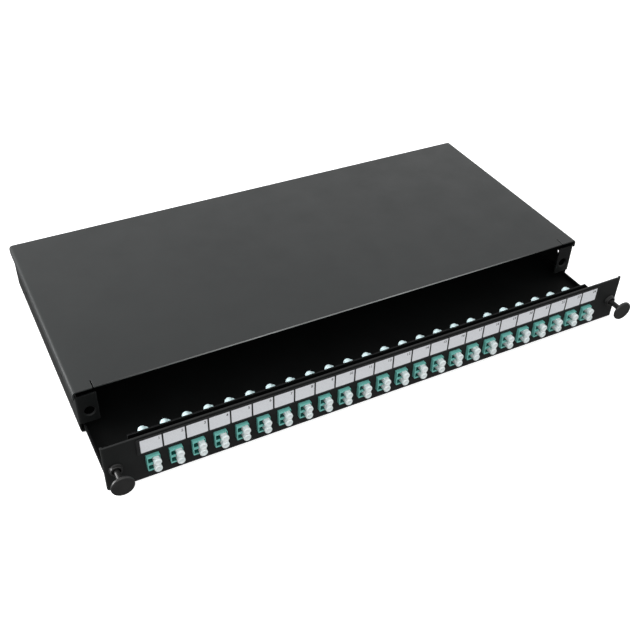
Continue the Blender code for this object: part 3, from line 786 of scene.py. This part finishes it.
def make_tray():
    """Pan with low lips, the adapter wall, two stop tabs and slots for cable ties."""
    low, high = TRAY_LOW, TRAY_HIGH
    floor = low.z + SHEET
    lip_top = low.z + TRAY_LIP
    pan = folded_sheet(low, (high.x, high.y, lip_top), [(0, 0, 1), (0, -1, 0)], SHEET)
    wall_front = PANEL_LOW.y + WALL_SETBACK
    wall = adapter_wall_mesh((WALL_LEFT, wall_front, floor - WALL_FOOT),
                             (WALL_RIGHT, wall_front + SHEET, WALL_TOP))
    tabs = boxes_mesh(stop_tab_boxes(high.x, lip_top))
    windows = boxes_mesh(window_boxes(wall_front, wall_front + SHEET))
    shell = cut(joined(pan, wall, tabs), windows, boxes_mesh(tie_slot_boxes(low.z, floor)))
    add_piece("drawer_tray", soft_edges(shell), "drawer", TRAY_SHADED_COAT, ["tray"])


def make_front_panel():
    """Plate with a fold at each end, a window for each adapter and a hole for each latch collar."""
    low, high = PANEL_LOW, PANEL_HIGH
    plate = folded_sheet(low, high, [(0, 1, 0), (0, 0, 1), (0, 0, -1)], PANEL_SHEET)
    windows = boxes_mesh(window_boxes(low.y, low.y + PANEL_SHEET))
    holes = rods_mesh([(place, 1, COLLAR_HOLE_RADIUS, HOLE_CUTTER) for place in latch_places(low.y)])
    plate = cut(plate, windows, holes)
    add_piece("drawer_front", soft_edges(plate), "drawer", PANEL_SHADED_COAT, ["front_panel"])


def make_label_holder():
    """Plastic strip with a shallow cell above each adapter."""
    low, high = STRIP_LOW, STRIP_HIGH
    strip = rounded_box_mesh(low, high, STRIP_CORNER, 1)
    half = CELL_WIDTH / 2
    cells = [((place.x - half, low.y - CUT_OVER, low.z + CELL_MARGIN_LOW),
              (place.x + half, low.y + CELL_DEPTH, high.z - CELL_MARGIN_HIGH)) for place in port_places()]
    strip = soft_edges(cut(strip, boxes_mesh(cells)), STRIP_EDGE)
    add_piece("label_holder", strip, "drawer", STRIP, ["label_strip"])


def number_mesh(number):
    """A printed number, its top right corner at the origin, facing the front."""
    text = bpy.data.curves.new("number", "FONT")
    text.body = str(number)
    text.size = NUMBER_SIZE
    text.extrude = NUMBER_RAISE
    text.offset = NUMBER_WEIGHT
    text.align_x = "RIGHT"
    text.align_y = "TOP"
    text.resolution_u = 3
    obj = temporary(text)
    return facing_front(applied(obj), (0, 0, 0))


def make_label_cards():
    """A card in each cell, with its number at the top right."""
    half = CELL_WIDTH / 2 - CARD_CLEARANCE
    low_z = STRIP_LOW.z + CELL_MARGIN_LOW + CARD_CLEARANCE
    high_z = STRIP_HIGH.z - CELL_MARGIN_HIGH - CARD_CLEARANCE
    back = STRIP_LOW.y + CELL_DEPTH - CARD_LIFT
    front = back - CARD_THICK
    card = rounded_box_mesh((-half, front, low_z), (half, back, high_z), CARD_CORNER, 1, 3)
    card = soft_edges(card, CARD_EDGE, 1)
    for number, place in enumerate(port_places(), start=1):
        add_piece(f"label_card_{number:02d}", card, "drawer", CARD, at=(place.x, 0, 0))
        corner = Vector((place.x + half - NUMBER_FROM_SIDE, front, high_z - NUMBER_FROM_TOP))
        add_piece(f"label_number_{number:02d}", number_mesh(number), "drawer", INK,
                  at=corner)


# ---- adapters and caps ----
def port_levels():
    """Heights of an adapter's two ports about its middle."""
    return (-PORT_SPACING / 2, PORT_SPACING / 2)


def port_boxes(face, inward):
    """Cutters for two ports, then for their latch slots, from a face at y towards inward (+1 or -1)."""
    left = PORT_OFFSET - PORT_WIDTH / 2
    port = (left, left + PORT_WIDTH, PORT_TALL, PORT_DEPTH)
    latch = (left - LATCH_WIDTH, left + LATCH_OVERLAP, LATCH_TALL, LATCH_DEPTH)
    boxes = []
    for x_low, x_high, tall, depth in (port, latch):
        y_low, y_high = sorted((face - inward * CUT_OVER, face + inward * depth))
        boxes.append([((x_low, y_low, level - tall / 2), (x_high, y_high, level + tall / 2))
                      for level in port_levels()])
    return boxes


def seam_mesh(half_width, half_height):
    """Cutter that scores the adapter's weld seam: a thin rectangular ring round it."""
    front = SEAM_BEHIND_NOSE
    back = front + SEAM_WIDTH
    outer = box_about_y(0, 0, half_width + CUT_OVER, half_height + CUT_OVER, front, back)
    inner = box_about_y(0, 0, half_width - SEAM_DEPTH, half_height - SEAM_DEPTH,
                        front - CUT_OVER, back + CUT_OVER)
    return cut(boxes_mesh([outer]), boxes_mesh([inner]))


def inside_adapter(point, half_width, half_height):
    """Whether a face's centre lies within the hollow of the adapter, behind its rims, where shade is
    painted.
    """
    rim = 0.3 * MM
    behind = 0.1 * MM
    within = abs(point.x) < half_width - rim and abs(point.z) < half_height - rim
    return within and behind < point.y < ADAPTER_LENGTH - behind


def adapter_mesh():
    """Body with a wing round its middle, two ports at each end, a moulded dot and a weld seam; faces
    inside its hollow get a darker aqua as painted shade.
    """
    half_width = ADAPTER_WIDTH / 2
    half_height = ADAPTER_HEIGHT / 2
    body = rounded_box_mesh(*box_about_y(0, 0, half_width, half_height, 0, ADAPTER_LENGTH),
                            ADAPTER_CORNER, 1, 3)
    wing = rounded_box_mesh(*box_about_y(0, 0, WING_WIDTH / 2, WING_HEIGHT / 2, WING_FRONT, WING_BACK),
                            WING_CORNER, 1, 3)
    ports = [boxes_mesh(boxes) for face, inward in ((0.0, 1), (ADAPTER_LENGTH, -1))
             for boxes in port_boxes(face, inward)]
    dot_place = Vector((half_width - DOT_FROM_SIDE, 0, half_height - DOT_FROM_TOP))
    dot = rods_mesh([(dot_place, 1, DOT_RADIUS, 2 * DOT_DEPTH)], sides=16)
    body = cut(joined(body, wing), *ports, dot, seam_mesh(half_width, half_height))
    body.materials.clear()
    body.materials.append(AQUA)
    body.materials.append(AQUA_PAINTED_SHADE)
    # faces in the hollow take the darker aqua of the painted shade
    for face in body.polygons:
        face.material_index = int(inside_adapter(face.center, half_width, half_height))
    return soft_edges(body, ADAPTER_EDGE)


def tongue_mesh(side, half_width):
    """Leaf of the clip, standing away from the body towards the wall."""
    bm = bmesh.new()
    root = half_width + CLIP_THICK / 2
    for y, x in ((CLIP_BACK - 1 * MM, root), (CLIP_FRONT + 0.2 * MM, root + TONGUE_SPREAD)):
        for dx in (-CLIP_THICK / 2, CLIP_THICK / 2):
            for z in (-TONGUE_HALF_HEIGHT, TONGUE_HALF_HEIGHT):
                bm.verts.new((side * (x + dx), y, z))
    bmesh.ops.convex_hull(bm, input=bm.verts)
    return mesh_from(bm, "tongue")


def clip_mesh():
    """Spring clip: a strap round the body with a bent tongue on each side."""
    outer_corner = 0.7 * MM
    inner_corner = 0.45 * MM
    half_width = ADAPTER_WIDTH / 2 + CLIP_CLEARANCE
    half_height = ADAPTER_HEIGHT / 2 + CLIP_CLEARANCE
    strap = box_about_y(0, 0, half_width + CLIP_THICK, half_height + CLIP_THICK, CLIP_FRONT, CLIP_BACK)
    hollow = box_about_y(0, 0, half_width, half_height, CLIP_FRONT - CUT_OVER, CLIP_BACK + CUT_OVER)
    outer = rounded_box_mesh(*strap, outer_corner, 1, 4)
    inner = rounded_box_mesh(*hollow, inner_corner, 1, 4)
    tongues = [tongue_mesh(side, half_width) for side in (-1, 1)]
    return soft_edges(joined(cut(outer, inner), *tongues), CLIP_EDGE)


def front_cap_profile():
    """One end of a front cap, from the middle of its slightly dished face down to its neck."""
    rim = 0.9 * MM
    dish = 0.35 * MM
    inner = CAP_RADIUS - rim - 0.4 * MM
    edge = 0.25 * MM
    return [(0.0, CAP_LENGTH - dish), (inner * 0.8, CAP_LENGTH - dish), (inner, CAP_LENGTH - dish * 0.4),
            *arc(CAP_RADIUS - rim, CAP_LENGTH - rim, rim, 95, 0, 6),
            *arc(CAP_RADIUS - edge, CAP_NECK + edge, edge, 0, -90, 2),
            (CAP_NECK_RADIUS, CAP_NECK), (CAP_NECK_RADIUS, 0.0), (0.0, 0.0)]


def rear_cap_profile():
    """Outside of a rear cap: a rod with a round end."""
    rim = 2.3 * MM
    return [(0.0, REAR_CAP_LENGTH), *arc(REAR_CAP_RADIUS - rim, REAR_CAP_LENGTH - rim, rim, 85, 0, 7),
            (REAR_CAP_RADIUS, 0.0), (0.0, 0.0)]


def cap_plug(front, back, level):
    """Square plug that fills a port between two depths."""
    plug = box_about_y(PORT_OFFSET, level, CAP_PLUG / 2, CAP_PLUG / 2, front, back)
    return rounded_box_mesh(*plug, CAP_PLUG_CORNER, 1, 2)


def front_cap_mesh():
    """Duplex cap: two round ends, a web between them and a square plug behind each."""
    web_setback = 0.6 * MM
    web_corner = 0.6 * MM
    web = rounded_box_mesh(*box_about_y(PORT_OFFSET, 0, CAP_WEB / 2, PORT_SPACING / 2,
                                        -CAP_GAP - CAP_LENGTH + web_setback, -CAP_GAP - CAP_NECK),
                           web_corner, 2, 3)
    ends = [facing_front(turned_mesh(front_cap_profile(), steps=SMALL_ROUND_STEPS),
                         (PORT_OFFSET, -CAP_GAP, level)) for level in port_levels()]
    plugs = [cap_plug(-CAP_GAP - CAP_PLUG_ROOT, PORT_DEPTH - CAP_PLUG_SHORT, level)
             for level in port_levels()]
    return soft_edges(joined(web, *ends, *plugs), CAP_EDGE)


def rear_cap_mesh():
    """One rear cap: a domed end with a round pull lug on its right."""
    back = ADAPTER_LENGTH
    end = staggered(turned_mesh(rear_cap_profile(), steps=SMALL_ROUND_STEPS), 0.5)
    end = facing_back(end, (PORT_OFFSET, back, 0))
    plug = cap_plug(back - PORT_DEPTH + CAP_PLUG_SHORT, back + REAR_CAP_PLUG_ROOT, 0)
    bm = bmesh.new()
    place = Matrix.Translation((PORT_OFFSET + LUG_REACH, back + REAR_CAP_LENGTH - LUG_SETBACK, 0))
    bmesh.ops.create_uvsphere(bm, u_segments=24, v_segments=16, radius=LUG_RADIUS, matrix=place)
    return soft_edges(joined(end, plug, mesh_from(bm, "lug")), CAP_EDGE)


def make_ports():
    """Each adapter with its clip, its front cap and its two rear caps."""
    adapter = adapter_mesh()
    clip = clip_mesh()
    front_cap = front_cap_mesh()
    rear_cap = rear_cap_mesh()
    for number, place in enumerate(port_places(), start=1):
        tag = f"{number:02d}"
        add_piece(f"duplex_adapter_{tag}", adapter, "drawer", AQUA,
                  [f"adapter_{tag}"], place)
        add_piece(f"adapter_clip_{tag}", clip, "drawer", STEEL, at=place)
        add_piece(f"front_cap_{tag}", front_cap, "drawer", CAP, [f"dust_cap_{tag}"], place)
        for level, letter in zip(port_levels(), "ab"):
            add_piece(f"rear_cap_{tag}{letter}", rear_cap, "drawer", REAR_CAP,
                      at=place + Vector((0, 0, level)))


# ---- latches ----
def plunger_mesh():
    """Push knob with a rounded rim and a shallow dish, a neck and a locking pin."""
    rim = 0.9 * MM
    edge = 0.4 * MM
    dish = 0.25 * MM
    bevel = 0.7 * MM
    shoulder = 0.3 * MM
    profile = [(0.0, HEAD_FRONT - dish), (HEAD_RADIUS * 0.55, HEAD_FRONT - 0.12 * MM),
               *arc(HEAD_RADIUS - rim, HEAD_FRONT - rim, rim, 92, 0, 8),
               *arc(HEAD_RADIUS - edge, HEAD_BACK + edge, edge, 0, -90, 3),
               *arc(NECK_RADIUS + NECK_FLARE, HEAD_BACK - NECK_FLARE, NECK_FLARE, 90, 180, 5),
               (NECK_RADIUS, NECK_END + shoulder), (NECK_RADIUS - shoulder, NECK_END),
               (PIN_RADIUS, NECK_END), (PIN_RADIUS, PIN_END + bevel), (PIN_RADIUS - bevel, PIN_END),
               (0.0, PIN_END)]
    return smooth(turned_mesh(profile, steps=LARGE_ROUND_STEPS))


def collar_mesh():
    """Flanged collar whose split leg passes through the panel."""
    bevel = 0.3 * MM
    edge = 0.6 * MM
    foot_edge = 0.4 * MM
    profile = [(COUNTERBORE_RADIUS, COLLAR_FRONT - bevel), (COUNTERBORE_RADIUS + bevel, COLLAR_FRONT),
               *arc(COLLAR_RADIUS - edge, COLLAR_FRONT - edge, edge, 90, 0, 5),
               (COLLAR_RADIUS, COLLAR_FOOT + 0.4 * MM), (COLLAR_RADIUS + 0.2 * MM, COLLAR_FOOT),
               *arc(COLLAR_FOOT_RADIUS - foot_edge, COLLAR_FOOT - foot_edge, foot_edge, 90, 0, 3),
               (COLLAR_FOOT_RADIUS, SEAT_GAP), (COLLAR_LEG_RADIUS, SEAT_GAP),
               (COLLAR_LEG_RADIUS, COLLAR_LEG_END + 0.5 * MM),
               (COLLAR_LEG_RADIUS - bevel, COLLAR_LEG_END), (COLLAR_BORE_RADIUS, COLLAR_LEG_END),
               (COLLAR_BORE_RADIUS, COLLAR_SEAT), (COUNTERBORE_RADIUS, COLLAR_SEAT)]
    ring = turned_mesh(profile, closed=True, steps=LARGE_ROUND_STEPS)
    slots = cross_meshes(COLLAR_LEG_RADIUS + CUT_OVER, LEG_SLOT / 2,
                         COLLAR_LEG_END - CUT_OVER, LEG_SLOT_END)
    return smooth(cut(ring, *slots))


def make_latches():
    """A collar on the drawer and a plunger of its own body at each side."""
    for side_name in ("left", "right"):
        axis = plunger_axis(side_name)
        add_piece(f"latch_collar_{side_name}", facing_front(collar_mesh(), axis), "drawer", NYLON,
                  [f"plunger_collar_{side_name}"])
        add_piece(f"latch_knob_{side_name}", facing_front(plunger_mesh(), axis), f"{side_name}_plunger",
                  NYLON, [f"plunger_{side_name}"])


# ---- rear fittings ----
def hexagon_mesh(flats, bottom, top):
    """Hexagon nut body with the usual turned chamfers, round Z."""
    radius = flats / 2 / math.cos(math.pi / 6)
    middle = Vector((0, 0, (bottom + top) / 2))
    prism = rods_mesh([(middle, 2, radius, top - bottom)], 6)
    chamfer = (radius - flats / 2) * 0.6
    turned = turned_mesh([(0.0, top), (flats / 2, top), (radius, top - chamfer),
                          (radius, bottom + chamfer), (flats / 2, bottom), (0.0, bottom)])
    return combined(prism, [("INTERSECT", staggered(turned, 0.5))])


def thread_profile(radius, bottom, top):
    """Threaded rod shown as rings, from the top down its outer side."""
    root = radius - 0.5 * MM
    points = [(0.0, top)]
    for turn in range(int((top - bottom) / GLAND_THREAD_PITCH)):
        height = top - turn * GLAND_THREAD_PITCH
        points += [(root, height), (radius, height - GLAND_THREAD_PITCH / 2)]
    return [*points, (root, bottom), (0.0, bottom)]


def dome_nut_mesh():
    """Dome nut with grip ribs round its skirt."""
    skirt = GLAND_DOME_LENGTH * 0.45
    foot = 0.2 * MM
    rib_radius = 0.7 * MM
    rib_sunk = 0.15 * MM
    steps = 8
    curve = []
    for step in range(steps + 1):
        turn = math.pi / 2 * step / steps
        radius = GLAND_MOUTH_RADIUS + (GLAND_DOME_RADIUS - GLAND_MOUTH_RADIUS) * math.sin(turn)
        curve.append((radius, skirt + (GLAND_DOME_LENGTH - skirt) * math.cos(turn)))
    shell = turned_mesh([(0.0, GLAND_DOME_LENGTH), *curve, (GLAND_DOME_RADIUS, foot), (0.0, foot)])
    middle = Vector((0, 0, skirt * 0.5 + 0.4 * MM))
    out = Matrix.Translation((GLAND_DOME_RADIUS - rib_sunk, 0, 0))
    ribs = []
    for index in range(GRIP_RIBS):
        rib = rods_mesh([(middle, 2, rib_radius, skirt * 0.8)], sides=12)
        ribs.append(moved(rib, Matrix.Rotation(2 * math.pi * index / GRIP_RIBS, 4, "Z") @ out))
    return joined(shell, merged(ribs))


def make_gland():
    """Cable gland in the rear wall: a body with a hexagon and a thread, a locknut and a dome nut."""
    outside = cable_entry("cable_gland") + Vector((0, SEAT_GAP, 0))
    inside = -SHEET - 2 * SEAT_GAP
    bore = staggered(rods_mesh([(Vector((0, 0, 0)), 2, GLAND_BORE_RADIUS, GLAND_BORE_CUTTER)]), 0.25)
    thread_end = inside - LOCKNUT_THICK - GLAND_THREAD_PAST_NUT
    thread = turned_mesh(thread_profile(GLAND_THREAD_RADIUS, thread_end, GLAND_THREAD_IN_HEX))
    body = cut(joined(hexagon_mesh(GLAND_FLATS, 0.0, GLAND_HEX_LENGTH), thread), bore.copy())
    nut_hole = rods_mesh([(Vector((0, 0, inside)), 2, LOCKNUT_HOLE_RADIUS, 4 * LOCKNUT_THICK)])
    nut = cut(hexagon_mesh(GLAND_FLATS, inside - LOCKNUT_THICK, inside), nut_hole)
    dome = cut(dome_nut_mesh(), bore)
    seat = outside + Vector((0, GLAND_HEX_LENGTH, 0))
    add_piece("gland_body", facing_back(soft_edges(body, GLAND_EDGE), outside), "housing",
              GLAND, ["cable_gland"])
    add_piece("gland_locknut", facing_back(soft_edges(nut, GLAND_EDGE), outside), "housing",
              GLAND)
    add_piece("gland_dome_nut", facing_back(soft_edges(dome, DOME_EDGE), seat), "housing",
              GLAND)


def make_blanking_plug():
    """Snap-in plug with a domed, dished head and a barrel that flares into a snap rib."""
    low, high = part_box("blanking_plug")
    radius = (high.x - low.x) / 2
    seat = cable_entry("blanking_plug") + Vector((0, SEAT_GAP, 0))
    rise = high.y - seat.y
    dish = 0.35 * MM
    crown = rise * 0.8
    barrel = GLAND_THREAD_RADIUS
    end = low.y - seat.y
    profile = [(0.0, rise), (radius * 0.45, rise), (radius * 0.5, rise - dish),
               (radius * 0.62, rise - dish), *arc(radius - crown, rise * 0.2, crown, 80, 0, 7),
               (radius, 0.0), (barrel, 0.0),
               (barrel, -2.2 * MM), (barrel + 0.5 * MM, -2.8 * MM), (barrel - 0.6 * MM, end), (0.0, end)]
    plug = smooth(turned_mesh(profile, steps=LARGE_ROUND_STEPS))
    add_piece("entry_plug", facing_back(plug, seat), "housing", GLAND, ["blanking_plug"])


# ---- splice cassette ----
def entry_boxes(low, high, rim):
    """Cutters for the fibre entries near the cassette's four corners."""
    from_end = 18 * MM
    half_length = 6 * MM
    half_depth = 3 * MM
    height = 5 * MM
    return [box_about_z(x, y, half_length, half_depth, rim - height, rim + CUT_OVER)
            for x in (low.x + from_end, high.x - from_end) for y in (low.y, high.y)]


def lid_mesh(low, high, rim):
    """Flat lid with three long ribs, just clear of the body's rim."""
    clearance = 0.02 * MM
    rib_rise = 0.4 * MM
    rib_root = 0.5 * MM
    rib_half_width = 0.6 * MM
    rib_from_end = 22 * MM
    lid = rounded_box_mesh((low.x + LID_INSET, low.y + LID_INSET, rim + clearance),
                           (high.x - LID_INSET, high.y - LID_INSET, high.z - rib_rise),
                           CASSETTE_CORNER - LID_INSET, 2, 8)
    ribs = [((low.x + rib_from_end, low.y + y - rib_half_width, rim + rib_root),
             (high.x - rib_from_end, low.y + y + rib_half_width, high.z)) for y in LID_RIBS]
    return soft_edges(joined(lid, boxes_mesh(ribs)))


def catch_mesh(x, low_z, high_z):
    """Catch at one end of the lid."""
    half_width = 1.5 * MM
    length = 14 * MM
    corner = 0.8 * MM
    catch = rounded_box_mesh((x - half_width, -length, low_z), (x + half_width, 0.0, high_z), corner, 1, 4)
    return soft_edges(catch)


def make_cassette():
    """Splice tray with a ribbed lid, fibre entries near its corners and two catches."""
    low, high = CASSETTE_LOW, CASSETTE_HIGH
    rim = high.z - LID_THICK
    body = rounded_box_mesh(low, (high.x, high.y, rim), CASSETTE_CORNER, 2, 8)
    body = soft_edges(cut(body, boxes_mesh(entry_boxes(low, high, rim))), CASSETTE_EDGE)
    add_piece("cassette_body", body, "drawer", STRIP, ["splice_cassette"])
    add_piece("cassette_lid", lid_mesh(low, high, rim), "drawer", STRIP)
    for name, x in (("left", low.x), ("right", high.x)):
        catch = catch_mesh(x, low.z + CATCH_UP, high.z)
        add_piece(f"cassette_catch_{name}", catch, "drawer", STRIP)


# ---- studio ----
CAMERA_AT = Vector((-0.2830, -0.5655, 0.4678))
CAMERA_AIM = Vector((-0.0192, -0.0806, 0.0200))
CAMERA_ROLL = math.radians(1.93)
CAMERA_LENS = 49.83
CAMERA_SENSOR = 36.0
FLOOR_HALF = 30.0
WORLD_ABOVE = 1.0
WORLD_BELOW = 0.2
WORLD_FADE_LOW = -0.09  # the world fades from dark to white between these heights
WORLD_FADE_HIGH = -0.005


def make_camera():
    """Camera looking down at the front left corner."""
    data = bpy.data.cameras.new("camera")
    data.lens = CAMERA_LENS
    data.sensor_width = CAMERA_SENSOR
    camera = bpy.data.objects.new("camera", data)
    bpy.context.scene.collection.objects.link(camera)
    camera.location = CAMERA_AT
    camera.rotation_mode = "QUATERNION"
    look = (CAMERA_AIM - CAMERA_AT).to_track_quat("-Z", "Y")
    camera.rotation_quaternion = look @ Quaternion((0, 0, 1), CAMERA_ROLL)
    bpy.context.scene.camera = camera


def make_floor():
    """Wide floor at z = 0, which lights nothing by reflection."""
    bm = bmesh.new()
    bmesh.ops.create_grid(bm, x_segments=4, y_segments=4, size=FLOOR_HALF)
    floor = bpy.data.objects.new("floor", mesh_from(bm, "floor"))
    bpy.context.scene.collection.objects.link(floor)
    floor.data.materials.append(pale_floor("pale_floor"))
    floor.visible_glossy = False
    floor.visible_diffuse = False


def add_area_light(name, at, aim, size, power):
    """Rectangular light facing a point; power in watts."""
    data = bpy.data.lights.new(name, "AREA")
    data.shape = "RECTANGLE"
    data.size, data.size_y = size
    data.energy = power
    light = bpy.data.objects.new(name, data)
    bpy.context.scene.collection.objects.link(light)
    light.location = at
    light.rotation_mode = "QUATERNION"
    light.rotation_quaternion = (Vector(aim) - Vector(at)).to_track_quat("-Z", "Y")


def make_world():
    """White above the horizon, dark below it, so that upright faces mirror little light."""
    world = bpy.data.worlds.new("studio")
    world.use_nodes = True
    tree = world.node_tree
    place = tree.nodes.new("ShaderNodeTexCoord").outputs["Generated"]
    split = tree.nodes.new("ShaderNodeSeparateXYZ")
    tree.links.new(place, split.inputs[0])
    sky = tree.nodes.new("ShaderNodeMapRange")
    set_inputs(sky, {"From Min": WORLD_FADE_LOW, "From Max": WORLD_FADE_HIGH,
                     "To Min": WORLD_BELOW, "To Max": WORLD_ABOVE})
    tree.links.new(split.outputs["Z"], sky.inputs["Value"])
    background = tree.nodes["Background"]
    set_inputs(background, {"Color": (1.0, 1.0, 1.0, 1.0)})
    tree.links.new(sky.outputs["Result"], background.inputs["Strength"])
    bpy.context.scene.world = world


def make_lights():
    """The world, a strong light low at the left and a weak one in front."""
    make_world()
    add_area_light("left", at=(-1.5, 0.55, 0.45), aim=(-0.2, 0.05, 0), size=(1.0, 0.6), power=34.0)
    add_area_light("front", at=(-0.5, -1.4, 0.9), aim=(0, 0, 0), size=(1.2, 0.6), power=4.0)
    bpy.context.scene.view_settings.view_transform = "Standard"


make_housing_base()
make_cover()
make_cover_screws()
make_tray()
make_front_panel()
make_label_holder()
make_label_cards()
make_ports()
make_latches()
make_gland()
make_blanking_plug()
make_cassette()
make_camera()
make_floor()
make_lights()
